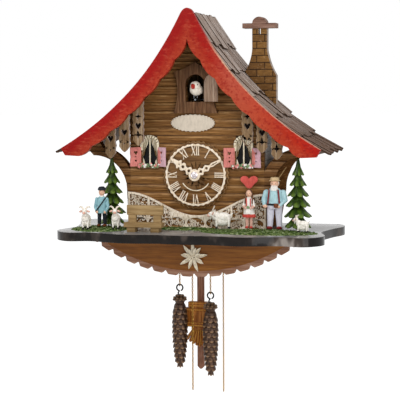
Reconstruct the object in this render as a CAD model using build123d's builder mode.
from build123d import *
import os
from math import asin, atan2, cos, degrees, hypot, pi, radians, sin, sqrt, tan

os.makedirs("parts", exist_ok=True)

# Chalet cuckoo clock. Lengths are in millimetres. The origin is the centre of the hanging hole on
# the wall plane, +Z is up and the dial faces -Y. Heights are counted up from the top of the stage
# board, and distances to the front are counted from the wall plane.

# Case
case_depth = 100
hole_height = 240
hanging_hole_radius = 5
wall_half_width = 97
wall_thickness = 8
side_thickness = 7
back_thickness = 6
seat_gap = 0.3
running_gap = 0.05

# Roof
roof_half_width = 184
roof_apex = 311
eave_height = 113
roof_sag = 20.6
roof_overhang = 47
roof_board_thickness = 8
roof_board_trim = 6
shingle_layer = 5.5
shingle_thickness = 1.8
shingle_length = 58
shingle_rise = 3.7
shingle_start = 12
shingle_courses = 6
shingle_strips = 7
eave_overshoot = 13
bargeboard_thickness = 8
bargeboard_width = 21
peak_rounding = 5.2
scallop_pitch = 33
scallop_bulge = 3
scallop_count = 6
eave_toe_height = 102

# Eave slats and braces
slat_reach = 17
slat_thickness = 6
slat_width = 16.5
slat_pitch = 20.5
slat_first = 70
slat_lowest = 116
slat_step = 9
slat_point = 9
brace_foot = 100
brace_waist = 102.5
brace_waist_height = 52
brace_elbow = (115, 85)
brace_reach = 152
brace_toe_height = 101
brace_root_height = 80
brace_back_elbow = (112, 100)
brace_back_height = 112

# Chimney
chimney_x = 80.5
chimney_distance = 44
chimney_thickness = 11
chimney_neck_half = 10.7
chimney_top = 279.5
chimney_neck_height = 250.5
chimney_flare = 24
cap_half_width = 24
cap_height = 7
cap_overhang = 4
cap_arch_radius = 10
chimney_shoulder = 213.5
slit_width = 3
slit_height = 8

# Cuckoo doorway
surround_half_width = 32
surround_bottom = 161
surround_peak = 232.6
surround_shoulder = 219
surround_shoulder_half = 30.5
surround_waist = 25.5
surround_thickness = 6
doorway_width = 28.4
doorway_sill = 177
doorway_height = 38
door_thickness = 2
door_gap = 0.4
door_open_angle = 145
knuckle_radius = 0.8
knuckle_length = 7
knuckle_gap = 0.35

# Bird and its arm
bird_x = 1.5
bird_reach = 8
bird_rise = 17
bird_radius = 7
bird_length = 19
bird_head_radius = 5.4
bird_pivot_x = 58
bird_pivot_setback = 10
arm_rise = 3
arm_radius = 1.2
pivot_radius = 1.5
sleeve_radius = 3
sleeve_length = 8

# Dial and hands
dial_height = 75
dial_radius = 45
dial_thickness = 4
ring_radius = 43.5
ring_inner_radius = 27
ring_rim = 3
ring_thickness = 2
minute_length = 43
hour_length = 42
hand_thickness = 1.2
minute_angle = 60
hour_angle = -57
arbor_radius = 1.5
pipe_radius = 3
hand_hub_radius = 5

# Windows
window_x = 68
window_width = 22
window_sill = 84.7
window_height = 44.3
shutter_width = 17
shutter_thickness = 3
shutter_height = 27
shutter_lift = 1.5
shutter_angle = 35
curtain_thickness = 2
curtain_rim = 2
flower_box_width = 30
flower_box_height = 8
flower_box_depth = 9

# Plaque and lattice
plaque_x = -4.4
plaque_height = 147.4
plaque_length = 67
plaque_width = 24
plaque_thickness = 3
lattice_half_width = 100
lattice_end = 50
lattice_centre = 18
lattice_rim = 3.2
lattice_thickness = 3
lattice_bays = 10

# Stage board and apron
board_half_width = 197
board_depth = 205
board_lean = 6
board_thickness = 12
apron_half_width = 156
apron_height = 55
apron_thickness = 8
apron_reach = 18
apron_lobes = 16
notch_width = 9
notch_depth = 5.5
edelweiss_radius = 20
edelweiss_petals = 9
edelweiss_drop = 26.6
edelweiss_thickness = 3

# Stage figures
turf_thickness = 2.5
tree_height = 101
tree_radius = 19
tree_tiers = 6
bench_x = -57
bench_reach = 65
bench_length = 54
bench_depth = 16

# Movement
plate_half_width = 50
plate_bottom = 20
plate_top = 130
plate_thickness = 2
plate_standoff = 12
plate_spacing = 26
pillar_radius = 2.5
pillar_inset = 5
gear_module = 1
great_teeth = 54
centre_pinion_teeth = 13
fine_module = 0.8
wheel_teeth = 40
pinion_teeth = 10
motion_module = 0.6
cannon_teeth = 12
motion_teeth = 36
motion_pinion_teeth = 10
hour_wheel_teeth = 40
wheel_thickness = 2
time_arbor_x = -24.4
strike_arbor_x = 21.3
chain_setback = 10
chain_radius = 1.5
chain_wrap = 9.5
flange_radius = 10.8
flange_thickness = 1.3
escape_radius = 11
escape_teeth = 24
pendulum_x = -9.5
anchor_lift = 15
pin_wheel_radius = 12
pin_wheel_pins = 8

# Pendulum
rod_width = 10.5
rod_thickness = 3
rod_setback = 11.5
rod_bottom = -212
rod_shoulder = 62
leader_width = 3
bob_top = -112
bob_bottom = -181
bob_half_width = 21.5
bob_thickness = 11
pendulum_swing = 4.5

# Weights
left_ring_top = -84
right_ring_top = -94
ring_eye_radius = 4.6
ring_wire_radius = 1.1
cone_drop = 15.5
cone_length = 105
cone_radius = 11.6
chain_end = -239

# Whistles, bellows, hammer, gong and rear door
whistle_width = 28
whistle_setback = 42
whistle_depth = 36
whistle_bottom = 0
whistle_top = 120
cloth_height = 3.6
lid_thickness = 3
lid_gap = 0.4
lid_pin_radius = 0.7
hammer_x = 25
hammer_height = 112
hammer_arm = 22
hammer_head_radius = 4
gong_height = 70
gong_wire_radius = 1.2
gong_distance = 13
gong_first_radius = 10
gong_turn_step = 4.4
gong_half_turns = 8
rear_door_half_width = 42
rear_door_bottom = 30
rear_door_top = 140

# Derived places
stage_z = -hole_height
wall_back = case_depth - wall_thickness
side_inner = wall_half_width - side_thickness
roof_front = case_depth + roof_overhang
bargeboard_back = roof_front - bargeboard_thickness
roof_underside = shingle_layer + roof_board_thickness
roof_seat = roof_underside + seat_gap
front_plate_distance = wall_back - plate_standoff
back_plate_distance = front_plate_distance - plate_spacing
back_plate_front = back_plate_distance + plate_thickness
chain_distance = front_plate_distance - chain_setback
rod_distance = back_plate_distance - rod_setback
slat_distance = case_depth + slat_reach
bird_distance = case_depth + bird_reach
bird_pivot_distance = wall_back - bird_pivot_setback
bird_height = doorway_sill + bird_rise
arm_height = doorway_sill + arm_rise
whistle_back = wall_back - whistle_setback
apron_front = case_depth + apron_reach
bench_distance = case_depth + bench_reach
apron_top = -board_thickness


def front_plane(distance):
    # upright sketch plane facing the front: sketch x is X and sketch y is height above the stage
    return Plane(origin=(0, -distance, stage_z), x_dir=(1, 0, 0), z_dir=(0, -1, 0))


def level_plane(height):
    # horizontal sketch plane: sketch y is minus the distance to the front
    return Plane.XY.offset(stage_z + height)


def spot(x, distance, height):
    return (x, -distance, stage_z + height)


def finish(piece, name):
    piece.part.label = name
    export_step(piece.part, f"parts/{name}.step")


# Roof curve: one concave arc on each slope, from the apex to the eave
roof_rise = roof_apex - eave_height
roof_chord = hypot(roof_half_width, roof_rise)
roof_radius = roof_chord**2 / (8 * roof_sag) + roof_sag / 2
roof_centre_x = roof_half_width / 2 + (roof_radius - roof_sag) * roof_rise / roof_chord
roof_centre_height = (roof_apex + eave_height) / 2 + (roof_radius - roof_sag) * roof_half_width / roof_chord
roof_start = atan2(roof_apex - roof_centre_height, -roof_centre_x)
roof_run = 2 * roof_radius * asin(roof_chord / (2 * roof_radius))


def roof_height(x, depth=0):
    # height of the curve that lies this deep under the roof's outer edge
    return roof_centre_height - sqrt((roof_radius + depth) ** 2 - (x - roof_centre_x) ** 2)


def slope_point(run, depth=0):
    # point on the right slope, run millimetres down from the apex
    angle = roof_start + run / roof_radius
    reach = roof_radius + depth
    return (roof_centre_x + reach * cos(angle), roof_centre_height + reach * sin(angle))


def roof_arc(x_from, x_to, depth):
    middle = (x_from + x_to) / 2
    return ThreePointArc(
        (x_from, roof_height(x_from, depth)),
        (middle, roof_height(middle, depth)),
        (x_to, roof_height(x_to, depth)),
    )


def bulge_arc(first, last, bulge):
    # arc between two points, bulging to the right of the way from first to last
    length = hypot(last[0] - first[0], last[1] - first[1])
    across = ((last[1] - first[1]) / length, (first[0] - last[0]) / length)
    crest = (
        (first[0] + last[0]) / 2 + bulge * across[0],
        (first[1] + last[1]) / 2 + bulge * across[1],
    )
    return ThreePointArc(first, crest, last)


def ball_profile(across, along):
    # half outline of a carved ball or egg, for a revolve about the sketch's y axis
    steps = [radians(angle) for angle in range(-90, 91, 30)]
    return [(across * cos(step), along * sin(step)) for step in steps]


def mirror_piece(source, name):
    with BuildPart() as piece:
        mirror(source.part, about=Plane.YZ)
    finish(piece, name)


# Stage board: black lacquered wavy shelf with the holes for pendulum and chains
outline_shares = [
    (0.944, 0), (0.99, 0.07), (1, 0.166), (0.954, 0.312), (0.919, 0.449), (0.898, 0.576), (0.924, 0.683),
    (0.952, 0.78), (0.914, 0.898), (0.812, 0.961), (0.695, 0.927), (0.569, 0.956), (0.376, 1),
    (0.183, 0.971), (0, 0.99),
]
half_outline = [(across * board_half_width, -along * board_depth) for across, along in outline_shares]
pendulum_slot_half = (rod_width / 2) + (plate_top + board_thickness) * tan(radians(pendulum_swing)) + 2
time_arbor_height = dial_height - sqrt(
    ((great_teeth + centre_pinion_teeth) * gear_module / 2) ** 2 - time_arbor_x**2
)
chain_strands = [
    time_arbor_x - chain_wrap,
    time_arbor_x + chain_wrap,
    strike_arbor_x - chain_wrap,
    strike_arbor_x + chain_wrap,
]
both_halves = half_outline + [(-x, y) for x, y in reversed(half_outline[:-1])]
front_edge = [(x - board_lean * y / board_depth, y) for x, y in both_halves]
with BuildPart() as stage_board:
    with BuildSketch(level_plane(-board_thickness)):
        with BuildLine():
            Spline(*front_edge)
            Line(front_edge[-1], front_edge[0])
        make_face()
        with Locations((pendulum_x, -rod_distance - rod_thickness / 2)):
            SlotOverall(2 * pendulum_slot_half, 4 * rod_thickness, mode=Mode.SUBTRACT)
        with Locations(*[(x, -chain_distance) for x in chain_strands]):
            Circle(3 * chain_radius, mode=Mode.SUBTRACT)
    extrude(amount=board_thickness)
finish(stage_board, "stage_board")

# Front wall: log-sided gable board with the cuckoo doorway, two windows and the arbor hole
arbor_hole_radius = 6
with BuildPart() as front_wall:
    with BuildSketch(front_plane(wall_back)):
        with BuildLine():
            Polyline((0, 0), (wall_half_width, 0), (wall_half_width, roof_height(wall_half_width, roof_seat)))
            roof_arc(wall_half_width, 0, roof_seat)
            mirror(about=Plane.YZ)
        make_face()
        with Locations((0, dial_height)):
            Circle(arbor_hole_radius, mode=Mode.SUBTRACT)
        with Locations(*[(side * window_x, window_sill + window_height / 2) for side in (-1, 1)]):
            Rectangle(window_width, window_height, mode=Mode.SUBTRACT)
        with BuildLine():
            arch_spring = doorway_sill + doorway_height - doorway_width / 2
            Polyline(
                (doorway_width / 2, arch_spring),
                (doorway_width / 2, doorway_sill),
                (-doorway_width / 2, doorway_sill),
                (-doorway_width / 2, arch_spring),
            )
            ThreePointArc(
                (-doorway_width / 2, arch_spring),
                (0, doorway_sill + doorway_height),
                (doorway_width / 2, arch_spring),
            )
        make_face(mode=Mode.SUBTRACT)
    extrude(amount=wall_thickness)
finish(front_wall, "front_wall")

# Side walls of the case
with BuildPart() as side_walls:
    with BuildSketch(front_plane(back_thickness)):
        with BuildLine():
            Polyline(
                (side_inner, 0),
                (wall_half_width, 0),
                (wall_half_width, roof_height(wall_half_width, roof_seat)),
                (side_inner, roof_height(side_inner, roof_seat)),
                close=True,
            )
        make_face()
        mirror(about=Plane.YZ)
    extrude(amount=wall_back - back_thickness)
finish(side_walls, "side_walls")

# Flared side braces that carry the eaves over the whole depth of the case
brace_top_x = brace_reach - 8
brace_tip_x = brace_reach + 9
brace_back = (brace_top_x - 6, brace_back_height)
with BuildPart() as eave_braces:
    with BuildSketch(front_plane(0)):
        with BuildLine():
            Polyline(
                (wall_half_width, brace_root_height),
                (wall_half_width, 0),
                (brace_foot, 0),
                (brace_waist, brace_waist_height),
            )
            ThreePointArc((brace_waist, brace_waist_height), brace_elbow, (brace_reach, brace_toe_height))
            Line((brace_reach, brace_toe_height), (brace_tip_x, roof_height(brace_tip_x, roof_seat)))
            roof_arc(brace_tip_x, brace_top_x, roof_seat)
            Line((brace_top_x, roof_height(brace_top_x, roof_seat)), brace_back)
            ThreePointArc(brace_back, brace_back_elbow, (wall_half_width, brace_root_height))
        make_face()
        mirror(about=Plane.YZ)
    extrude(amount=case_depth)
finish(eave_braces, "eave_braces")

# Back panel with the hanging hole and the opening for the rear door
with BuildPart() as back_panel:
    with BuildSketch(front_plane(0)):
        with BuildLine():
            Polyline((0, 0), (wall_half_width, 0), (wall_half_width, roof_height(wall_half_width, roof_seat)))
            roof_arc(wall_half_width, 0, roof_seat)
            mirror(about=Plane.YZ)
        make_face()
        with Locations((0, hole_height)):
            Circle(hanging_hole_radius, mode=Mode.SUBTRACT)
        with Locations((0, (rear_door_bottom + rear_door_top) / 2)):
            Rectangle(2 * rear_door_half_width, rear_door_top - rear_door_bottom, mode=Mode.SUBTRACT)
    extrude(amount=back_thickness)
finish(back_panel, "back_panel")

# Roof boards, bent to the slope
board_end = slope_point(roof_run - roof_board_trim, shingle_layer)
board_end_low = slope_point(roof_run - roof_board_trim, roof_underside)
with BuildPart() as right_roof_board:
    with BuildSketch(front_plane(0)):
        with BuildLine():
            roof_arc(0, board_end[0], shingle_layer)
            Line(board_end, board_end_low)
            roof_arc(board_end_low[0], 0, roof_underside)
            Line((0, roof_height(0, roof_underside)), (0, roof_height(0, shingle_layer)))
        make_face()
    extrude(amount=bargeboard_back)
finish(right_roof_board, "right_roof_board")
mirror_piece(right_roof_board, "left_roof_board")

# Shingle courses: lapped plates whose lower edge is a row of strips of uneven length
course_pitch = (roof_run + eave_overshoot - shingle_length - shingle_start) / (shingle_courses - 1)
strip_width = bargeboard_back / shingle_strips
strip_stagger = [3, 8, 1, 0, 6, 2, 9]


def course_plane(course):
    run = shingle_start + course * course_pitch
    upper = slope_point(run, shingle_layer)
    lower = slope_point(run + shingle_length, shingle_layer - shingle_rise)
    along = Vector(lower[0] - upper[0], 0, lower[1] - upper[1])
    return Plane(origin=spot(upper[0], 0, upper[1]), x_dir=along, z_dir=along.cross(Vector(0, 1, 0)))


def course_outline(course):
    points = [(0, 0)]
    for strip in range(shingle_strips):
        shortening = strip_stagger[(strip + 5 * course) % len(strip_stagger)]
        points.append((shingle_length - shortening, strip * strip_width))
        points.append((shingle_length - shortening, (strip + 1) * strip_width))
    points.append((0, shingle_strips * strip_width))
    return points


with BuildPart() as right_shingles:
    for course in range(shingle_courses):
        slope = course_plane(course)
        toward_front = 1 if slope.y_dir.Y < 0 else -1
        with BuildSketch(slope):
            Polygon(*[(x, toward_front * y) for x, y in course_outline(course)], align=None)
        extrude(amount=shingle_thickness)
finish(right_shingles, "right_shingles")
mirror_piece(right_shingles, "left_shingles")

# Bargeboards: red scalloped boards that close the front of the roof
peak_half_angle = pi / 2 - atan2(
    roof_apex - roof_height(peak_rounding), peak_rounding
)
peak_top = roof_apex - peak_rounding * (1 / sin(peak_half_angle) - 1)
peak_centre = peak_top - peak_rounding
peak_turn = pi / 2 - peak_half_angle
peak_end = peak_rounding * sin(peak_turn)
inner_start = (pi + asin(sqrt(1 - (roof_centre_x / (roof_radius + bargeboard_width)) ** 2)) - roof_start)
first_cusp_run = roof_radius * (inner_start - 2 * pi)
cusps = [slope_point(first_cusp_run + i * scallop_pitch, bargeboard_width) for i in range(scallop_count + 1)]
eave_tip = (roof_half_width, eave_height)
toe_outer = (roof_half_width - 6, eave_toe_height + 1)
toe_inner = (roof_half_width - 26, eave_toe_height)
with BuildPart() as right_bargeboard:
    with BuildSketch(front_plane(bargeboard_back)):
        with BuildLine():
            ThreePointArc(
                (0, peak_top),
                (
                    peak_rounding * sin(peak_turn / 2),
                    peak_centre + peak_rounding * cos(peak_turn / 2),
                ),
                (peak_end, roof_height(peak_end)),
            )
            roof_arc(peak_end, roof_half_width, 0)
            Polyline(eave_tip, toe_outer, toe_inner)
            bulge_arc(toe_inner, cusps[-1], -scallop_bulge)
            for upper, lower in zip(cusps[-2::-1], cusps[:0:-1]):
                bulge_arc(lower, upper, -scallop_bulge)
            Line((0, peak_top), cusps[0])
        make_face()
    extrude(amount=bargeboard_thickness)
finish(right_bargeboard, "right_bargeboard")
mirror_piece(right_bargeboard, "left_bargeboard")

# Eave slats: three pierced boards under each eave
with BuildPart() as eave_slats:
    with BuildSketch(front_plane(slat_distance)):
        for slat in range(3):
            inner = slat_first + slat * slat_pitch
            outer = inner + slat_width
            foot = slat_lowest - slat * slat_step
            middle = (inner + outer) / 2
            with BuildLine():
                Polyline(
                    (inner, roof_height(inner, roof_seat)),
                    (inner, foot + slat_point),
                    (middle - 3, foot),
                    (middle + 3, foot),
                    (outer, foot + slat_point),
                    (outer, roof_height(outer, roof_seat)),
                    close=True,
                )
            make_face()
            with Locations((middle, foot + 2 * slat_point)):
                Rectangle(4, 4, rotation=45, mode=Mode.SUBTRACT)
            with Locations((middle, foot + 3 * slat_point)):
                Circle(2, mode=Mode.SUBTRACT)
        mirror(about=Plane.YZ)
    extrude(amount=slat_thickness)
finish(eave_slats, "eave_slats")

# Chimney: bottle-shaped board on the right slope, with a capping bar and a half-round top
chimney_left = chimney_x - chimney_flare + 3
chimney_right = chimney_x + chimney_flare
chimney_seat = -0.6
with BuildPart() as chimney:
    with BuildSketch(front_plane(chimney_distance)):
        with BuildLine():
            roof_arc(chimney_left, chimney_right, chimney_seat)
            Line(
                (chimney_right, roof_height(chimney_right, chimney_seat)),
                (chimney_right, chimney_shoulder),
            )
            bulge_arc(
                (chimney_right, chimney_shoulder),
                (chimney_x + chimney_neck_half, chimney_neck_height),
                -2,
            )
            Polyline(
                (chimney_x + chimney_neck_half, chimney_neck_height),
                (chimney_x + chimney_neck_half, chimney_top),
                (chimney_x - chimney_neck_half, chimney_top),
                (chimney_x - chimney_neck_half, chimney_neck_height),
            )
            bulge_arc(
                (chimney_x - chimney_neck_half, chimney_neck_height),
                (chimney_left, roof_height(chimney_left, chimney_seat)),
                -2,
            )
        make_face()
        with Locations((chimney_x, chimney_top - slit_height / 2)):
            Rectangle(slit_width, slit_height, mode=Mode.SUBTRACT)
    extrude(amount=chimney_thickness)
    with BuildSketch(front_plane(chimney_distance - cap_overhang)):
        with Locations((chimney_x, chimney_top + cap_height - 1)):
            Circle(cap_arch_radius)
        with Locations((chimney_x, chimney_top - cap_arch_radius)):
            Rectangle(3 * cap_arch_radius, 2 * cap_arch_radius, mode=Mode.SUBTRACT)
        with Locations((chimney_x, chimney_top + cap_height / 2)):
            Rectangle(2 * cap_half_width, cap_height)
    extrude(amount=chimney_thickness + 2 * cap_overhang)
finish(chimney, "chimney")


def doorway_outline(margin):
    # arched outline of the cuckoo doorway, smaller by margin all round
    half = doorway_width / 2 - margin
    spring = doorway_sill + doorway_height - doorway_width / 2
    Polyline((half, spring), (half, doorway_sill + margin), (-half, doorway_sill + margin), (-half, spring))
    ThreePointArc((-half, spring), (0, spring + half), (half, spring))


# Door surround with concave sides and a pointed head, relieved for the hinge knuckles
knuckle_places = [
    spot(doorway_width / 2, case_depth + surround_thickness, doorway_sill + share * doorway_height)
    for share in (0.18, 0.48)
]
with BuildPart() as door_surround:
    with BuildSketch(front_plane(case_depth)):
        with BuildLine():
            Polyline((0, surround_bottom), (surround_half_width, surround_bottom))
            ThreePointArc(
                (surround_half_width, surround_bottom),
                (surround_waist, (surround_bottom + surround_shoulder) / 2),
                (surround_shoulder_half, surround_shoulder),
            )
            bulge_arc((surround_shoulder_half, surround_shoulder), (0, surround_peak), -2)
            mirror(about=Plane.YZ)
        make_face()
        with BuildLine():
            doorway_outline(0)
        make_face(mode=Mode.SUBTRACT)
    extrude(amount=surround_thickness)
    with Locations(*knuckle_places):
        Cylinder(knuckle_radius + knuckle_gap, knuckle_length + 2 * knuckle_gap, mode=Mode.SUBTRACT)
finish(door_surround, "door_surround")

# Door leaf on two knuckles, standing open about its right edge
door_hinge = spot(doorway_width / 2, case_depth + surround_thickness, 0)
with BuildPart() as cuckoo_door:
    with BuildSketch(front_plane(case_depth + surround_thickness - door_thickness)):
        with BuildLine():
            doorway_outline(door_gap)
        make_face()
    extrude(amount=door_thickness)
    with Locations(*knuckle_places):
        Cylinder(knuckle_radius, knuckle_length)
cuckoo_door.part = cuckoo_door.part.rotate(
    Axis(door_hinge, (0, 0, 1)), door_open_angle
)
finish(cuckoo_door, "cuckoo_door")

# Cuckoo: body, head, beak, tail and two posts on a small perch
bird_y = -bird_distance
perch_height = arm_height + arm_radius + seat_gap
with BuildPart() as cuckoo_bird:
    with BuildSketch(level_plane(bird_height)):
        with Locations((bird_x, bird_y)):
            Polygon(*ball_profile(bird_radius, bird_length / 2), align=None)
    revolve(axis=Axis((bird_x, bird_y, stage_z + bird_height), (0, 1, 0)))
    with BuildSketch(level_plane(bird_height + 7.5)):
        with Locations((bird_x, bird_y - 5)):
            Polygon(*ball_profile(bird_head_radius, bird_head_radius), align=None)
    revolve(axis=Axis((bird_x, bird_y - 5, stage_z + bird_height + 7.5), (0, 1, 0)))
    with Locations(
        Location(spot(bird_x, bird_distance + 10.6, bird_height + 7), (90, 0, 0))
    ):
        Cone(2, 0.5, 4.5)
    with Locations(spot(bird_x, bird_distance - bird_length / 2, bird_height)):
        Box(6, 8, 2)
    for leg in (-1, 1):
        with Locations(spot(bird_x + 2.4 * leg, bird_distance, (perch_height + bird_height) / 2)):
            Cylinder(0.9, bird_height - perch_height)
    with Locations(spot(bird_x, bird_distance, perch_height + 0.75)):
        Box(9, 9, 1.5)
finish(cuckoo_bird, "cuckoo_bird")

# Bird arm: bent wire on a sleeve that turns on an upright pin behind the wall
with BuildPart() as bird_arm:
    with BuildLine():
        arm_path = FilletPolyline(
            spot(bird_pivot_x - sleeve_radius + 0.5, bird_pivot_distance, arm_height),
            spot(bird_x, bird_pivot_distance, arm_height),
            spot(bird_x, bird_distance + 3, arm_height),
            radius=4,
        )
    with BuildSketch(Plane(origin=arm_path @ 0, z_dir=arm_path % 0)):
        Circle(arm_radius)
    sweep()
    with Locations(spot(bird_pivot_x, bird_pivot_distance, arm_height)):
        Cylinder(sleeve_radius, sleeve_length)
        Cylinder(pivot_radius + running_gap, 2 * sleeve_length, mode=Mode.SUBTRACT)
finish(bird_arm, "bird_arm")

# Bird bracket: wooden block on the back of the front wall with the upright pivot pin
bracket_top = arm_height - sleeve_length / 2 - seat_gap
bracket_height = 8
with BuildPart() as bird_bracket:
    with Locations(
        spot(bird_pivot_x, (bird_pivot_distance - 5 + wall_back) / 2, bracket_top - bracket_height / 2)
    ):
        Box(12, wall_back - bird_pivot_distance + 5, bracket_height)
    with Locations(spot(bird_pivot_x, bird_pivot_distance, bracket_top + sleeve_length / 2)):
        Cylinder(pivot_radius, sleeve_length + 4)
finish(bird_bracket, "bird_bracket")

# Dial: turned disc with a pierced chapter ring in front of it
with BuildPart() as dial:
    with BuildSketch(front_plane(case_depth)):
        with Locations((0, dial_height)):
            Circle(dial_radius)
            Circle(arbor_hole_radius, mode=Mode.SUBTRACT)
    extrude(amount=dial_thickness)
finish(dial, "dial")

ring_distance = case_depth + dial_thickness
with BuildPart() as chapter_ring:
    with BuildSketch(front_plane(ring_distance)):
        with Locations((0, dial_height)):
            Circle(ring_radius - 1)
            with PolarLocations(ring_radius - 1, 24):
                Circle(2.4)
            Circle(ring_radius - 1 - ring_rim, mode=Mode.SUBTRACT)
            Circle(ring_inner_radius + ring_rim)
            Circle(ring_inner_radius, mode=Mode.SUBTRACT)
            with PolarLocations((ring_radius + ring_inner_radius) / 2, 12):
                Rectangle(ring_radius - ring_inner_radius - ring_rim, 2)
    extrude(amount=ring_thickness)
finish(chapter_ring, "chapter_ring")


# Toothed wheels
def toothed_outline(teeth, module, phase):
    # straight-flanked teeth with room to run; phase is the angle of one tooth's middle
    pitch_radius = teeth * module / 2
    tip = pitch_radius + 0.75 * module
    root = pitch_radius - 1.05 * module
    pitch = 2 * pi / teeth
    points = []
    for tooth in range(teeth):
        middle = phase + tooth * pitch
        for radius, share in ((root, -0.31), (tip, -0.12), (tip, 0.12), (root, 0.31)):
            angle = middle + share * pitch
            points.append((radius * cos(angle), radius * sin(angle)))
    return points


def mesh_phase(phase, teeth, other_teeth, direction):
    # phase of the second wheel, so that its gap faces the first wheel's tooth
    place = (direction - phase) * teeth / (2 * pi)
    return direction + pi - 2 * pi / other_teeth * (0.5 - place)


def wheel_on(distance, centre, teeth, module, phase, thickness):
    with BuildSketch(front_plane(distance)) as blank:
        with Locations(centre):
            Polygon(*toothed_outline(teeth, module, phase), align=None)
    extrude(blank.sketch, amount=thickness)


def disc_on(distance, centre, radius, thickness, mode=Mode.ADD):
    with BuildSketch(front_plane(distance)) as blank:
        with Locations(centre):
            Circle(radius)
    extrude(blank.sketch, amount=thickness, mode=mode)


def cross_out(distance, centre, ring, hole, count, thickness):
    with BuildSketch(front_plane(distance)) as holes:
        with Locations(centre):
            with PolarLocations(ring, count):
                Circle(hole)
    extrude(holes.sketch, amount=thickness, mode=Mode.SUBTRACT)


centre_place = (0, dial_height)
time_place = (time_arbor_x, time_arbor_height)
strike_place = (strike_arbor_x, time_arbor_height)
wheel_spacing = (wheel_teeth + pinion_teeth) * fine_module / 2
third_place = (-wheel_spacing * sin(radians(45)), dial_height + wheel_spacing * cos(radians(45)))
escape_place = (
    pendulum_x,
    third_place[1] + sqrt(wheel_spacing**2 - (pendulum_x - third_place[0]) ** 2),
)
anchor_place = (pendulum_x, escape_place[1] + anchor_lift)
pin_spacing = (great_teeth + pinion_teeth) * gear_module / 2
pin_place = (strike_arbor_x + 8, time_arbor_height + sqrt(pin_spacing**2 - 8**2))
motion_spacing = (cannon_teeth + motion_teeth) * motion_module / 2
hour_module = 2 * motion_spacing / (motion_pinion_teeth + hour_wheel_teeth)
motion_place = (motion_spacing * cos(radians(20)), dial_height - motion_spacing * sin(radians(20)))
hammer_place = (hammer_x, hammer_height)


def heading(first, second):
    return atan2(second[1] - first[1], second[0] - first[0])


arbor_back = back_plate_distance - 0.5
arbor_front = front_plate_distance + plate_thickness + 0.5
arbor_length = arbor_front - arbor_back
time_wheel_distance = front_plate_distance - 4
escape_distance = front_plate_distance - 8
third_wheel_distance = front_plate_distance - 14
strike_wheel_distance = front_plate_distance - 18
centre_wheel_distance = front_plate_distance - 22
pinion_length = 4
motion_distance = front_plate_distance + plate_thickness + 0.8
hour_wheel_distance = motion_distance + wheel_thickness + 0.6
minute_hand_distance = ring_distance + ring_thickness + hand_thickness + 2.2
hour_hand_distance = ring_distance + ring_thickness + 1

# Time great wheel, driven by the left chain
time_phase = mesh_phase(0, centre_pinion_teeth, great_teeth, heading(centre_place, time_place))
with BuildPart() as time_wheel:
    wheel_on(time_wheel_distance, time_place, great_teeth, gear_module, time_phase, wheel_thickness)
    cross_out(time_wheel_distance, time_place, 15, 6, 5, wheel_thickness)
    disc_on(arbor_back, time_place, arbor_radius, arbor_length)
finish(time_wheel, "time_wheel")

# Centre wheel on the minute arbor, with its pinion and the cannon pinion
with BuildPart() as centre_wheel:
    wheel_on(centre_wheel_distance, centre_place, wheel_teeth, fine_module, 0, wheel_thickness)
    cross_out(centre_wheel_distance, centre_place, 9, 3.6, 5, wheel_thickness)
    wheel_on(
        time_wheel_distance - 1, centre_place, centre_pinion_teeth, gear_module, 0, pinion_length
    )
    wheel_on(motion_distance, centre_place, cannon_teeth, motion_module, 0, wheel_thickness)
    disc_on(arbor_back, centre_place, arbor_radius, minute_hand_distance - arbor_back)
finish(centre_wheel, "centre_wheel")

# Third wheel
third_phase = mesh_phase(0, wheel_teeth, pinion_teeth, heading(centre_place, third_place))
with BuildPart() as third_wheel:
    wheel_on(third_wheel_distance, third_place, wheel_teeth, fine_module, 0, wheel_thickness)
    cross_out(third_wheel_distance, third_place, 9, 3.6, 5, wheel_thickness)
    wheel_on(
        centre_wheel_distance - 1, third_place, pinion_teeth, fine_module, third_phase, pinion_length
    )
    disc_on(arbor_back, third_place, arbor_radius, arbor_length)
finish(third_wheel, "third_wheel")

# Escape wheel with pointed teeth
escape_phase = mesh_phase(0, wheel_teeth, pinion_teeth, heading(third_place, escape_place))
escape_points = []
for tooth in range(escape_teeth):
    lead = 2 * pi * tooth / escape_teeth
    escape_points.append((escape_radius * cos(lead), escape_radius * sin(lead)))
    trail = lead + 0.55 * 2 * pi / escape_teeth
    escape_points.append((0.8 * escape_radius * cos(trail), 0.8 * escape_radius * sin(trail)))
with BuildPart() as escape_wheel:
    with BuildSketch(front_plane(escape_distance)):
        with Locations(escape_place):
            Polygon(*escape_points, align=None)
    extrude(amount=wheel_thickness)
    cross_out(escape_distance, escape_place, 5.4, 2, 5, wheel_thickness)
    wheel_on(
        third_wheel_distance - 1, escape_place, pinion_teeth, fine_module, escape_phase, pinion_length
    )
    disc_on(arbor_back, escape_place, arbor_radius, arbor_length)
finish(escape_wheel, "escape_wheel")

# Anchor with its arbor, crutch wire and crutch pin
crutch_back = back_plate_distance - 4
crutch_pin_height = anchor_place[1] - 36
anchor_outline = [
    (-9.2, -5.6), (-7.7, -5.2), (-6.2, -1.2), (6.2, -1.2),
    (7.7, -5.2), (9.2, -5.6), (8.2, 1.8), (-8.2, 1.8),
]
with BuildPart() as anchor:
    with BuildSketch(front_plane(escape_distance)):
        with Locations(anchor_place):
            Polygon(*anchor_outline, align=None)
            Circle(2 * arbor_radius)
    extrude(amount=wheel_thickness)
    disc_on(crutch_back, anchor_place, arbor_radius, arbor_front - crutch_back)
    with BuildSketch(front_plane(crutch_back)):
        with Locations((pendulum_x, (anchor_place[1] + crutch_pin_height) / 2)):
            Rectangle(2, anchor_place[1] - crutch_pin_height + 2)
    extrude(amount=2)
    disc_on(rod_distance - 2, (pendulum_x, crutch_pin_height), 1, crutch_back - rod_distance + 3)
finish(anchor, "anchor")

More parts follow.
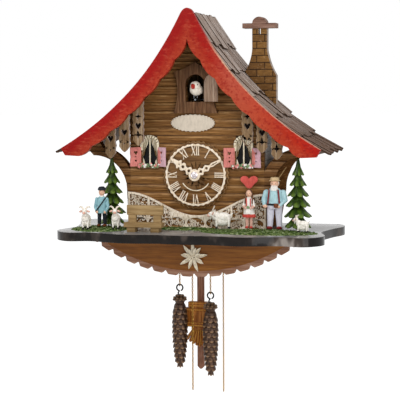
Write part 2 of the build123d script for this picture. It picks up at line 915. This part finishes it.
# Strike great wheel, driven by the right chain, and the pin wheel that lifts bellows and hammer
pin_phase = mesh_phase(0, great_teeth, pinion_teeth, heading(strike_place, pin_place))
with BuildPart() as strike_wheel:
    wheel_on(strike_wheel_distance, strike_place, great_teeth, gear_module, 0, wheel_thickness)
    cross_out(strike_wheel_distance, strike_place, 15, 6, 5, wheel_thickness)
    disc_on(arbor_back, strike_place, arbor_radius, arbor_length)
finish(strike_wheel, "strike_wheel")

pin_wheel_distance = centre_wheel_distance
with BuildPart() as pin_wheel:
    disc_on(pin_wheel_distance, pin_place, pin_wheel_radius, wheel_thickness)
    with BuildSketch(front_plane(pin_wheel_distance)):
        with Locations(pin_place):
            with PolarLocations(pin_wheel_radius - 2, pin_wheel_pins):
                Circle(0.8)
    extrude(amount=-1.5)
    wheel_on(
        strike_wheel_distance - 1, pin_place, pinion_teeth, gear_module, pin_phase, pinion_length
    )
    disc_on(arbor_back, pin_place, arbor_radius, arbor_length)
finish(pin_wheel, "pin_wheel")


# Chain sprockets: a grooved hub between two flanges, free on the great wheel's arbor
def sprocket(place, name):
    hub_back = chain_distance - chain_radius - seat_gap
    hub_length = 2 * (chain_radius + seat_gap)
    with BuildPart() as piece:
        disc_on(hub_back, place, chain_wrap - chain_radius - seat_gap, hub_length)
        disc_on(hub_back - flange_thickness, place, flange_radius, flange_thickness)
        disc_on(hub_back + hub_length, place, flange_radius, flange_thickness)
        disc_on(
            hub_back - flange_thickness,
            place,
            arbor_radius + running_gap,
            hub_length + 2 * flange_thickness,
            mode=Mode.SUBTRACT,
        )
    finish(piece, name)


sprocket(time_place, "time_sprocket")
sprocket(strike_place, "strike_sprocket")


# Chains: each runs from its weight over the sprocket and down to the free end
def chain(place, weight_side, ring_top, name):
    weight_x = place[0] + weight_side * chain_wrap
    free_x = place[0] - weight_side * chain_wrap
    with BuildPart() as piece:
        with BuildLine():
            start = spot(weight_x, chain_distance, ring_top + seat_gap)
            weight_run = Line(start, spot(weight_x, chain_distance, place[1]))
            ThreePointArc(
                spot(weight_x, chain_distance, place[1]),
                spot(place[0], chain_distance, place[1] + chain_wrap),
                spot(free_x, chain_distance, place[1]),
            )
            Line(spot(free_x, chain_distance, place[1]), spot(free_x, chain_distance, chain_end))
        with BuildSketch(Plane(origin=start, z_dir=(0, 0, 1))):
            Circle(chain_radius)
        sweep()
    finish(piece, name)
    return weight_x


left_weight_x = chain(time_place, -1, left_ring_top, "left_chain")
right_weight_x = chain(strike_place, -1, right_ring_top, "right_chain")


# Pine-cone weights: cast cones with a wire eye
cone_shares = [
    (0.05, 0.76), (0.075, 0.81), (0.115, 0.58), (0.2, 0.9), (0.33, 1), (0.5, 0.99), (0.65, 0.93),
    (0.8, 0.79), (0.9, 0.65), (0.96, 0.48),
]


def cone_weight(x, ring_top, name):
    cone_top = ring_top - cone_drop
    ring_centre = ring_top - ring_eye_radius - ring_wire_radius
    profile = [(0, 0), (0.35 * cone_radius, 0)]
    profile += [(reach * cone_radius, -share * cone_length) for share, reach in cone_shares]
    profile += [(0, -cone_length)]
    with BuildPart() as piece:
        with BuildSketch(Plane(origin=spot(x, chain_distance, cone_top), x_dir=(1, 0, 0), z_dir=(0, -1, 0))):
            Polygon(*profile, align=None)
        revolve(axis=Axis(spot(x, chain_distance, cone_top), (0, 0, 1)))
        with Locations(Location(spot(x, chain_distance, ring_centre), (90, 0, 0))):
            Torus(ring_eye_radius, ring_wire_radius)
        stem_top = ring_centre - ring_eye_radius
        with Locations(spot(x, chain_distance, (stem_top + cone_top - 1) / 2)):
            Cylinder(ring_wire_radius, stem_top - cone_top + 1)
    finish(piece, name)


cone_weight(left_weight_x, left_ring_top, "left_cone")
cone_weight(right_weight_x, right_ring_top, "right_cone")

# Movement plates: the front one stands off the wall on posts, the back one carries the pillars
arbor_places = [centre_place, time_place, strike_place, third_place, escape_place, anchor_place, pin_place]
corner_places = [
    (side * (plate_half_width - pillar_inset), height)
    for side in (-1, 1)
    for height in (plate_bottom + pillar_inset, plate_top - pillar_inset)
]


def plate_sheet(distance, holes):
    with BuildSketch(front_plane(distance)) as sheet:
        with Locations((0, (plate_bottom + plate_top) / 2)):
            Rectangle(2 * plate_half_width, plate_top - plate_bottom)
        with Locations(*holes):
            Circle(arbor_radius + running_gap, mode=Mode.SUBTRACT)
    extrude(sheet.sketch, amount=plate_thickness)


with BuildPart() as front_plate:
    plate_sheet(front_plate_distance, arbor_places + [hammer_place])
    for place in corner_places:
        disc_on(front_plate_distance + plate_thickness, place, pillar_radius,
                wall_back - front_plate_distance - plate_thickness)
    disc_on(front_plate_distance + plate_thickness, motion_place, arbor_radius,
            hour_wheel_distance + wheel_thickness - front_plate_distance - plate_thickness)
finish(front_plate, "front_plate")

cock_distance = rod_distance + rod_thickness + 1
stud_radius = 1.2
cock_height = 6
cock_span = 20
with BuildPart() as back_plate:
    plate_sheet(back_plate_distance, arbor_places + [hammer_place])
    for place in corner_places:
        disc_on(back_plate_front, place, pillar_radius, front_plate_distance - back_plate_front)
    with BuildSketch(front_plane(cock_distance)):
        with Locations((pendulum_x + cock_span / 2 - 3, anchor_place[1])):
            Rectangle(cock_span, cock_height)
    extrude(amount=1.5)
    with BuildSketch(front_plane(cock_distance)):
        with Locations((pendulum_x + cock_span - 6, anchor_place[1])):
            Rectangle(6, cock_height)
    extrude(amount=back_plate_distance - cock_distance)
    disc_on(rod_distance - 1, (pendulum_x, anchor_place[1]), stud_radius, cock_distance - rod_distance + 1)
finish(back_plate, "back_plate")

# Motion wheel: steps the minute arbor down to the hour wheel
motion_phase = mesh_phase(0, cannon_teeth, motion_teeth, heading(centre_place, motion_place))
with BuildPart() as motion_wheel:
    wheel_on(motion_distance, motion_place, motion_teeth, motion_module, motion_phase, wheel_thickness)
    wheel_on(motion_distance + wheel_thickness, motion_place, motion_pinion_teeth, hour_module, 0,
             wheel_thickness + 0.6)
    disc_on(motion_distance, motion_place, arbor_radius + running_gap, 3 * wheel_thickness,
            mode=Mode.SUBTRACT)
finish(motion_wheel, "motion_wheel")

# Hour wheel with its pipe and the hour hand
hour_phase = mesh_phase(0, motion_pinion_teeth, hour_wheel_teeth, heading(motion_place, centre_place))


def hand_outline(length, width):
    # outline of a leaf-shaped clock hand pointing up from its hub
    Line((-1.4, 0), (-1.4, 0.45 * length))
    bulge_arc((-1.4, 0.45 * length), (0, length), -width / 2)
    mirror(about=Plane.YZ)
    Line((-1.4, 0), (1.4, 0))


def hand_plane(distance, angle):
    # plane on the dial's axis, turned clockwise from twelve by angle
    turn = radians(angle)
    return Plane(
        origin=spot(0, distance, dial_height), x_dir=(cos(turn), 0, -sin(turn)), z_dir=(0, -1, 0)
    )


with BuildPart() as hour_hand:
    wheel_on(hour_wheel_distance, centre_place, hour_wheel_teeth, hour_module, hour_phase, wheel_thickness)
    disc_on(hour_wheel_distance, centre_place, pipe_radius,
            hour_hand_distance + hand_thickness - hour_wheel_distance)
    with BuildSketch(hand_plane(hour_hand_distance, hour_angle)):
        with BuildLine():
            hand_outline(hour_length, 7)
        make_face()
        Circle(hand_hub_radius)
    extrude(amount=hand_thickness)
    disc_on(hour_wheel_distance, centre_place, arbor_radius + running_gap,
            hour_hand_distance + hand_thickness - hour_wheel_distance, mode=Mode.SUBTRACT)
finish(hour_hand, "hour_hand")

with BuildPart() as minute_hand:
    with BuildSketch(hand_plane(minute_hand_distance, minute_angle)):
        with BuildLine():
            hand_outline(minute_length, 6)
        make_face()
        Circle(hand_hub_radius - 1)
    extrude(amount=hand_thickness)
finish(minute_hand, "minute_hand")

# Pendulum: timber rod on a wire leader, with a carved bob in front of it
with BuildPart() as pendulum_rod:
    with BuildSketch(front_plane(rod_distance)):
        with BuildLine():
            half = rod_width / 2
            Polyline(
                (pendulum_x - half, rod_shoulder),
                (pendulum_x - half, rod_bottom + 4),
                (pendulum_x - 1.5, rod_bottom),
                (pendulum_x + 1.5, rod_bottom),
                (pendulum_x + half, rod_bottom + 4),
                (pendulum_x + half, rod_shoulder),
                close=True,
            )
        make_face()
        with Locations((pendulum_x, (rod_shoulder + anchor_place[1]) / 2)):
            Rectangle(leader_width, anchor_place[1] - rod_shoulder)
        with Locations(anchor_place):
            Circle(2.4 * stud_radius)
            Circle(stud_radius + running_gap, mode=Mode.SUBTRACT)
        with Locations((pendulum_x, crutch_pin_height)):
            Circle(2.4)
            Circle(1 + seat_gap, mode=Mode.SUBTRACT)
    extrude(amount=rod_thickness)
finish(pendulum_rod, "pendulum_rod")

bob_distance = rod_distance + rod_thickness
bob_waist = bob_half_width - 9.5
bob_half_outline = [
    (bob_half_width - 5, bob_top),
    (bob_half_width - 5, bob_top - 9),
    (bob_half_width, bob_top - 9),
    (bob_half_width, bob_top - 37),
    (bob_waist, bob_top - 37),
    (bob_waist, bob_top - 41),
    (bob_half_width - 4.5, bob_top - 41),
    (bob_half_width - 0.5, bob_bottom + 15),
    (bob_half_width - 7.5, bob_bottom + 9),
]
bob_outline = [(pendulum_x + x, height) for x, height in bob_half_outline]
bob_outline += [(pendulum_x, bob_bottom)]
bob_outline += [(pendulum_x - x, height) for x, height in reversed(bob_half_outline)]
with BuildPart() as pendulum_bob:
    with BuildSketch(front_plane(bob_distance)):
        Polygon(*bob_outline, align=None)
    extrude(amount=bob_thickness)
    chamfer(pendulum_bob.faces().sort_by(Axis.Y)[0].edges(), 1)
finish(pendulum_bob, "pendulum_bob")

# Whistles with folded bellows cloth, and the bellows lids
whistle_inner = side_inner - whistle_width
with BuildPart() as whistles:
    for side in (-1, 1):
        with Locations(
            spot(side * (side_inner - whistle_width / 2), whistle_back + whistle_depth / 2,
                 (whistle_bottom + whistle_top) / 2)
        ):
            Box(whistle_width, whistle_depth, whistle_top - whistle_bottom)
        with Locations(
            spot(side * (side_inner - whistle_width / 2), whistle_back + whistle_depth / 2,
                 whistle_top + cloth_height / 2)
        ):
            Box(whistle_width - 2, whistle_depth - 2, cloth_height)
        with Locations(
            spot(side * whistle_inner, whistle_back + whistle_depth / 2, whistle_top - 30)
        ):
            Box(8, 12, 5, mode=Mode.SUBTRACT)
finish(whistles, "whistles")

lid_height = whistle_top + cloth_height + lid_gap
for side, name in ((-1, "left_bellows_lid"), (1, "right_bellows_lid")):
    with BuildPart() as lid:
        with Locations(
            spot(side * (side_inner - whistle_width / 2), whistle_back + whistle_depth / 2,
                 lid_height + lid_thickness / 2)
        ):
            Box(whistle_width - 1, whistle_depth, lid_thickness)
        hinge_middle = spot(side * (side_inner - whistle_width / 2), whistle_back, lid_height)
        with Locations(Location(hinge_middle, (0, 90, 0))):
            Cylinder(lid_pin_radius, whistle_width - 1)
    finish(lid, name)

# Hammer on its long arbor
hammer_head = (hammer_x + 2, hammer_height - hammer_arm)
with BuildPart() as hammer:
    disc_on(gong_distance - 2, hammer_place, arbor_radius, arbor_front - gong_distance + 2)
    with BuildSketch(front_plane(gong_distance - 1)):
        with Locations(((hammer_x + hammer_head[0]) / 2, (hammer_height + hammer_head[1]) / 2)):
            Rectangle(2, hammer_arm, rotation=degrees(atan2(hammer_head[0] - hammer_x, hammer_arm)))
    extrude(amount=2)
    disc_on(gong_distance - 3, hammer_head, hammer_head_radius, 6)
finish(hammer, "hammer")

# Gong: wire coil on a post, wound outwards in half turns
with BuildPart() as gong:
    with BuildLine():
        radius = gong_first_radius
        centre = 0
        for turn in range(gong_half_turns):
            sense = 1 if turn % 2 == 0 else -1
            ThreePointArc(
                spot(centre + sense * radius, gong_distance, gong_height),
                spot(centre, gong_distance, gong_height + sense * radius),
                spot(centre - sense * radius, gong_distance, gong_height),
            )
            radius += gong_turn_step / 2
            centre += sense * gong_turn_step / 2
    with BuildSketch(Plane(origin=spot(gong_first_radius, gong_distance, gong_height), z_dir=(0, 0, 1))):
        RegularPolygon(gong_wire_radius, 6)
    sweep()
    with Locations(spot(gong_first_radius, (gong_distance + back_thickness) / 2 + 1, gong_height)):
        Box(6, gong_distance - back_thickness + 2, 6)
finish(gong, "gong")

# Rear door, flush in the back panel, with its left edge rounded about the hinge line
rear_hinge_radius = back_thickness / 2
rear_hinge_x = -rear_door_half_width + seat_gap + rear_hinge_radius
rear_door_edge = rear_door_half_width - seat_gap
with BuildPart() as rear_door:
    with BuildSketch(level_plane(rear_door_bottom + seat_gap)):
        with Locations((rear_hinge_x, -rear_hinge_radius)):
            Circle(rear_hinge_radius)
        with Locations(((rear_hinge_x + rear_door_edge) / 2, -rear_hinge_radius)):
            Rectangle(rear_door_edge - rear_hinge_x, back_thickness)
    extrude(amount=rear_door_top - rear_door_bottom - 2 * seat_gap)
finish(rear_door, "rear_door")

# Plaque: bare oval with a scalloped rim
with BuildPart() as name_plaque:
    with BuildSketch(front_plane(case_depth)):
        with Locations((plaque_x, plaque_height)):
            Ellipse(plaque_length / 2 - 5, plaque_width / 2)
            with Locations((plaque_length / 2 - 6, 0), (6 - plaque_length / 2, 0)):
                Rectangle(8.4, 8.4, rotation=45)
    extrude(amount=plaque_thickness)
finish(name_plaque, "name_plaque")

# Window curtains: cream frame with a mullion and two drawn curtains
with BuildPart() as window_curtains:
    with BuildSketch(front_plane(case_depth - 1 - curtain_thickness)):
        for side in (-1, 1):
            middle = side * window_x
            top = window_sill + window_height - 3 * curtain_rim
            with Locations((middle, window_sill + window_height / 2)):
                Rectangle(window_width - 2 * seat_gap, window_height - 2 * seat_gap)
            for half in (-1, 1):
                with BuildLine():
                    Polyline(
                        (middle + half, top),
                        (middle + half, window_sill + curtain_rim),
                        (middle + half * 6, window_sill + curtain_rim),
                        (middle + half * 8, window_sill + 0.4 * window_height),
                        close=True,
                    )
                make_face(mode=Mode.SUBTRACT)
    extrude(amount=curtain_thickness)
finish(window_curtains, "window_curtains")

# Shutters, standing partly open at both sides of each window
with BuildPart() as window_shutters:
    for side in (-1, 1):
        for leaf in (-1, 1):
            hinge_x = side * window_x + leaf * (window_width / 2 + 1)
            hinge = Plane(
                origin=spot(hinge_x, case_depth + seat_gap, window_sill + shutter_lift),
                x_dir=(leaf * cos(radians(shutter_angle)), -sin(radians(shutter_angle)), 0),
                z_dir=(0, 0, 1),
            )
            with BuildSketch(hinge):
                with Locations((shutter_width / 2, -leaf * shutter_thickness / 2)):
                    Rectangle(shutter_width, shutter_thickness)
            extrude(amount=shutter_height)
finish(window_shutters, "window_shutters")

# Flower boxes under the windows
with BuildPart() as flower_boxes:
    for side in (-1, 1):
        with Locations(
            spot(side * window_x, case_depth + flower_box_depth / 2, window_sill - flower_box_height / 2 - 1)
        ):
            Box(flower_box_width, flower_box_depth, flower_box_height)
        for flower in (-1, 0, 1):
            with Locations(
                spot(side * window_x + flower * flower_box_width / 4.6, case_depth + flower_box_depth / 2,
                     window_sill - 1)
            ):
                Sphere(flower_box_depth / 2.4)
finish(flower_boxes, "flower_boxes")


# Lattice: pierced fretwork fence with a dipping top edge
def lattice_top(x):
    share = (1 + cos(pi * x / lattice_half_width)) / 2
    return lattice_end + (lattice_centre - lattice_end) * share


lattice_points = [lattice_half_width * i / 6 for i in range(7)]
with BuildPart() as lattice_panel:
    with BuildSketch(front_plane(case_depth)):
        with BuildLine():
            Spline(*[(x, lattice_top(x)) for x in lattice_points], tangents=[(1, 0), (1, 0)])
            Polyline((lattice_half_width, lattice_end), (lattice_half_width, 0), (0, 0))
            mirror(about=Plane.YZ)
        make_face()
        bay = 2 * lattice_half_width / lattice_bays
        for index in range(lattice_bays):
            left = -lattice_half_width + index * bay + lattice_rim / 2
            right = left + bay - lattice_rim
            low = lattice_rim
            with BuildLine():
                Polyline(
                    (left, low),
                    (right, low),
                    (right, min(lattice_top(right), lattice_top(right + 2)) - lattice_rim),
                    (left, min(lattice_top(left), lattice_top(left - 2)) - lattice_rim),
                    close=True,
                )
            make_face(mode=Mode.SUBTRACT)
            with Locations(((left + right) / 2, (low + lattice_top((left + right) / 2)) / 2)):
                Rectangle(bay, lattice_rim / 1.6)
    extrude(amount=lattice_thickness)
finish(lattice_panel, "lattice_panel")

# Bench: seat on two block legs, two uprights and a back plank
bench_back = bench_distance - bench_depth / 2
with BuildPart() as bench:
    with Locations(spot(bench_x, bench_distance, 9.8)):
        Box(bench_length, bench_depth, 6.4)
    for side in (-1, 1):
        with Locations(spot(bench_x + side * (bench_length / 2 - 10), bench_distance, 3.3)):
            Box(12, bench_depth - 3, 6.6)
        with Locations(spot(bench_x + side * (bench_length / 2 - 9), bench_back + 3, 18)):
            Box(11, 6, 10.5)
    with Locations(spot(bench_x, bench_back + 2, 29.4)):
        Box(bench_length - 2, 4, 13.4)
finish(bench, "bench")

# Turf patches on the stage
turf_patches = [(-128, 41, 44, 40), (98, 40, 82, 35), (-10, 18, 52, 14)]
with BuildPart() as turf:
    for x, reach, half_x, half_y in turf_patches:
        with BuildSketch(level_plane(0)):
            with Locations((x, -case_depth - reach)):
                Ellipse(half_x, half_y)
        extrude(amount=turf_thickness)
finish(turf, "turf")

# Pine trees: stacked tiers on a short trunk
tree_places = [(-121, case_depth + 11), (147, case_depth + 12)]
with BuildPart() as pine_trees:
    for x, distance in tree_places:
        seat = turf_thickness
        trunk = 6
        tier = (tree_height - seat - trunk) / tree_tiers
        outline = [(0, 0), (2.5, 0), (2.5, trunk)]
        for level in range(tree_tiers):
            reach = tree_radius * (1 - 0.86 * level / tree_tiers)
            foot = trunk + level * tier
            outline.append((reach, foot + 0.12 * tier))
            outline.append((0.45 * reach, foot + tier))
        outline[-1] = (0, tree_height - seat)
        with BuildSketch(Plane(origin=spot(x, distance, seat), x_dir=(1, 0, 0), z_dir=(0, -1, 0))):
            Polygon(*outline, align=None)
        revolve(axis=Axis(spot(x, distance, seat), (0, 0, 1)))
finish(pine_trees, "pine_trees")


# Stage figures: each is one carved and painted piece on the turf
def turned(x, distance, seat, profile):
    # body of revolution about the upright line through (x, distance), radii by height over the seat
    points = [(0, profile[0][1])] + profile + [(0, profile[-1][1])]
    with BuildSketch(Plane(origin=spot(x, distance, seat), x_dir=(1, 0, 0), z_dir=(0, -1, 0))) as half:
        Polygon(*points, align=None)
    revolve(half.sketch, axis=Axis(spot(x, distance, seat), (0, 0, 1)))


def limb(start, end, radius):
    way = Vector(*end) - Vector(*start)
    shoulder = Vector(*start) - way.normalized() * 0.5 * radius
    with BuildSketch(Plane(origin=shoulder, z_dir=way)) as section:
        RegularPolygon(radius, 8)
    extrude(section.sketch, amount=way.length + radius)


def head(x, distance, seat, height, radius):
    turned(x, distance, seat, [(r, height + rise) for r, rise in ball_profile(radius, radius)[1:-1]])


def leg(x, distance, seat, height, radius):
    with Locations(spot(x, distance, seat + height / 2)):
        Cylinder(radius, height)
    with Locations(spot(x, distance + 1.5, seat + 1.4)):
        Box(2 * radius, 2 * radius + 3, 2.8)


figure_seat = turf_thickness
herder_x = -128
herder_distance = case_depth + 35
herder_size = 1.07
herder_body = [(6.4, 18), (6.8, 26), (6.6, 36), (3, 41), (2.4, 43)]
herder_hat = [(5.4, 49.5), (4.6, 53), (2.5, 54.5)]


def enlarged(profile, size):
    return [(radius * size, height * size) for radius, height in profile]


with BuildPart() as herder_figure:
    size = herder_size
    for side in (-1, 1):
        leg(herder_x + 3.4 * side * size, herder_distance, figure_seat, 22 * size, 2.6 * size)
        limb(
            spot(herder_x + 6 * side * size, herder_distance, figure_seat + 38 * size),
            spot(herder_x + 7.5 * side * size, herder_distance + 5 * size, figure_seat + 26 * size),
            2.1 * size,
        )
    turned(herder_x, herder_distance, figure_seat, enlarged(herder_body, size))
    head(herder_x, herder_distance, figure_seat, 47 * size, 4.8 * size)
    turned(herder_x, herder_distance, figure_seat, enlarged(herder_hat, size))
finish(herder_figure, "herder_figure")

girl_x = 79
girl_distance = case_depth + 15
girl_size = 1.1
girl_dress = [(8, 13), (7.6, 16), (4.4, 27), (5, 35), (2.2, 39), (2, 41)]
heart_x = 77
heart_height = 66
with BuildPart() as girl_figure:
    size = girl_size
    for side in (-1, 1):
        leg(girl_x + 2.4 * side * size, girl_distance, figure_seat, 14 * size, 1.9 * size)
        limb(
            spot(girl_x + 4.4 * side * size, girl_distance, figure_seat + 36 * size),
            spot(girl_x + 6.4 * side * size, girl_distance + 4 * size, figure_seat + 27 * size),
            1.6 * size,
        )
    turned(girl_x, girl_distance, figure_seat, enlarged(girl_dress, size))
    head(girl_x, girl_distance, figure_seat, 45 * size, 4.4 * size)
    with Locations(spot(heart_x, case_depth + 5.3, (figure_seat + heart_height) / 2)):
        Cylinder(1, heart_height - figure_seat)
    with BuildSketch(front_plane(case_depth + 4)):
        with Locations((heart_x, heart_height)):
            for side in (-1, 1):
                with Locations((6.6 * side, 2.6)):
                    Circle(5.6)
            Polygon((-11.4, 0), (0, -8.5), (11.4, 0), (0, 6), align=None)
    extrude(amount=3)
finish(girl_figure, "girl_figure")

elder_x = 118
elder_distance = case_depth + 15
with BuildPart() as elder_figure:
    for side in (-1, 1):
        leg(elder_x + 4 * side, elder_distance, figure_seat, 30, 3.4)
        limb(
            spot(elder_x + 7.8 * side, elder_distance, figure_seat + 52),
            spot(elder_x + 8.6 * side, elder_distance + 4.5, figure_seat + 36),
            2.7,
        )
    turned(elder_x, elder_distance, figure_seat, [(7.6, 27), (8.2, 38), (8, 51), (4, 57), (3, 59)])
    head(elder_x, elder_distance, figure_seat, 64, 6)
    turned(elder_x, elder_distance + 3, figure_seat, [(1.5, 50), (4, 57), (4, 62)])
    turned(elder_x, elder_distance, figure_seat, [(7.4, 66.5), (7.2, 67.5), (4.8, 68), (4, 72), (2, 73)])
finish(elder_figure, "elder_figure")

# Goats: rounded bodies on four legs
goat_places = [
    (-141, 65, -1, 1.0), (-102, 52, 1, 1.0), (41, 17, -1, 0.95), (159, 43, -1, 0.62),
]
with BuildPart() as goats:
    for x, reach, facing, size in goat_places:
        seat = figure_seat
        distance = case_depth + reach
        body_height = seat + 13 * size
        barrel = [(-10, 0), (-9, 3.4), (-5, 5.4), (0, 5.7), (5, 5.4), (9, 3.4), (10, 0)]
        with BuildSketch(level_plane(body_height)):
            with Locations((x, -distance)):
                Polygon(*[(along * size, radius * size) for along, radius in barrel], align=None)
        revolve(axis=Axis(spot(x, distance, body_height), (1, 0, 0)))
        for end in (-1, 1):
            for side in (-1, 1):
                with Locations(spot(x + 5.5 * end * size, distance + 2.8 * side * size, seat + 5.5 * size)):
                    Cylinder(1.5 * size, 11 * size)
        neck = spot(x + 7 * facing * size, distance, body_height + 2 * size)
        crown = spot(x + 11 * facing * size, distance + 2 * size, body_height + 8 * size)
        limb(neck, crown, 3.1 * size)
        muzzle = spot(x + 13.5 * facing * size, distance + 5 * size, body_height + 6.5 * size)
        limb(crown, muzzle, 2 * size)
        for side in (-1, 1):
            horn = spot(x + 9.5 * facing * size, distance + (2 + 3 * side) * size, body_height + 12.5 * size)
            limb(crown, horn, 0.9 * size)
finish(goats, "goats")

# Apron under the stage with a notched lower edge, and the carved edelweiss on it
apron_radius = (apron_half_width**2 + apron_height**2) / (2 * apron_height)
apron_centre = apron_top - apron_height + apron_radius
apron_sweep = asin(apron_half_width / apron_radius)
half_notch = notch_width / 2 / apron_radius


def apron_point(angle, depth=0):
    return ((apron_radius - depth) * sin(angle), apron_centre - (apron_radius - depth) * cos(angle))


apron_edge = [apron_point(-apron_sweep)]
for notch in range(1, apron_lobes):
    angle = -apron_sweep + 2 * apron_sweep * notch / apron_lobes
    apron_edge += [
        apron_point(angle - half_notch),
        apron_point(angle, notch_depth),
        apron_point(angle + half_notch),
    ]
apron_edge += [apron_point(apron_sweep)]
with BuildPart() as apron:
    with BuildSketch(front_plane(apron_front - apron_thickness)):
        Polygon(*apron_edge, align=None)
    extrude(amount=apron_thickness)
finish(apron, "apron")

flower_height = apron_top - edelweiss_drop
with BuildPart() as edelweiss:
    with BuildSketch(front_plane(apron_front)):
        with Locations((0, flower_height)):
            with PolarLocations(edelweiss_radius / 2, edelweiss_petals):
                Ellipse(edelweiss_radius / 2, edelweiss_radius / 5)
    extrude(amount=edelweiss_thickness)
    disc_on(apron_front, (0, flower_height), edelweiss_radius / 3, 2 * edelweiss_thickness)
finish(edelweiss, "edelweiss")
